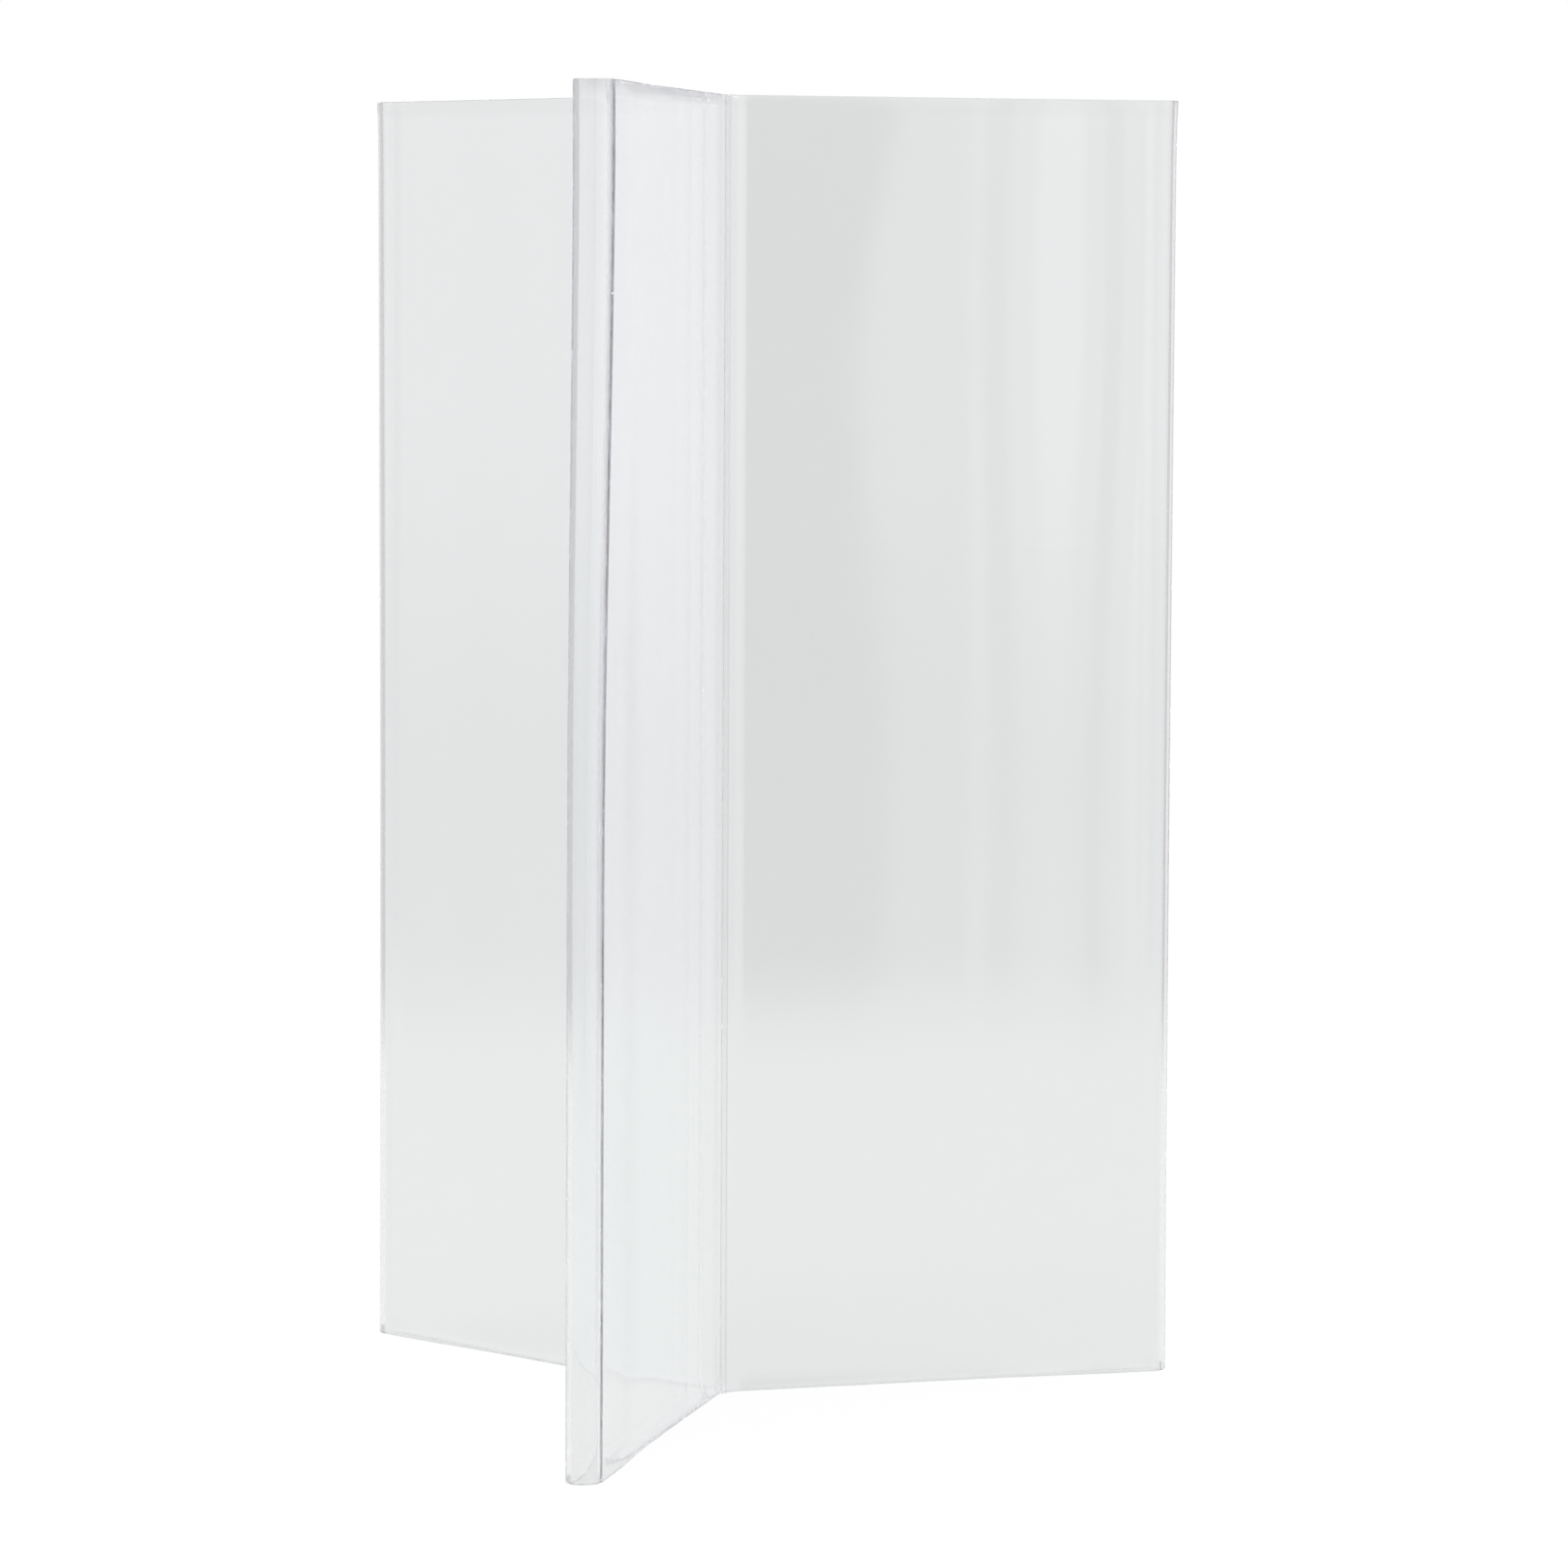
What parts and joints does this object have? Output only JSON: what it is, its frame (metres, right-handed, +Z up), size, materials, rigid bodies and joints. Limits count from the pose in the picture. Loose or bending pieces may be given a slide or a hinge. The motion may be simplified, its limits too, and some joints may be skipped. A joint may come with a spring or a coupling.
{
  "type": "three-wing table menu holder",
  "caption": "Free-standing clear plastic table menu holder with upright hairpin wings joined round a centre axis; cards slide in between the walls of each wing.",
  "frame": {"origin": "middle of the plan outline, on the surface that the holder stands on", "axes": "+Z up along the seams; the front wing points along -Y and X = 0 is its middle plane; the other two wings point 30 degrees behind +X and -X"},
  "size_m": [0.1822, 0.1588, 0.2794],
  "materials": {
    "clear_sheet": "clear, glossy",
    "dried_cement": "translucent dried solvent cement"
  },
  "bodies": {
    "root": {"wing_front": "clear_sheet", "wing_right": "clear_sheet", "wing_left": "clear_sheet", "seam_bead_right": "dried_cement", "seam_bead_rear": "dried_cement", "seam_bead_left": "dried_cement"}
  },
  "joints": []
}
